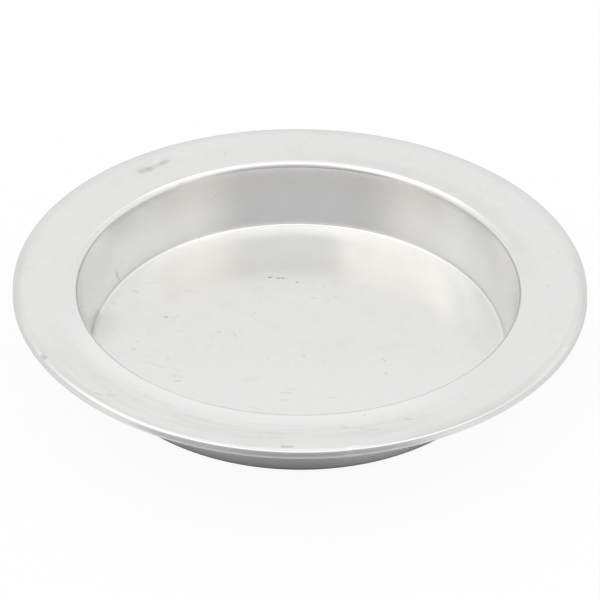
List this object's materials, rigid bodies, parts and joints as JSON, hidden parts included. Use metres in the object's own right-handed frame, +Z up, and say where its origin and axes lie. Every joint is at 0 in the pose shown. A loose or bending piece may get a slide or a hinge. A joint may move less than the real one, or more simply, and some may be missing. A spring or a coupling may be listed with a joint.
{
  "type": "pie tin",
  "caption": "Round aluminium pie tin pressed from sheet: flat floor, steep leaning wall, wide brim rising outwards and rolling over at its outside, edge turned down",
  "frame": {"origin": "centre of the underside of the floor, where the tin stands", "axes": "+Z is up and is the tin's axis of symmetry; +X and +Y lie in the plane it stands on, with the camera of the picture on the -Y side"},
  "size_m": [0.25, 0.25, 0.0384],
  "materials": {
    "tin": "satin pressed aluminium, faint turning lines, lightly scratched from use"
  },
  "bodies": {
    "root": {"pie_tin": "tin"}
  },
  "joints": []
}
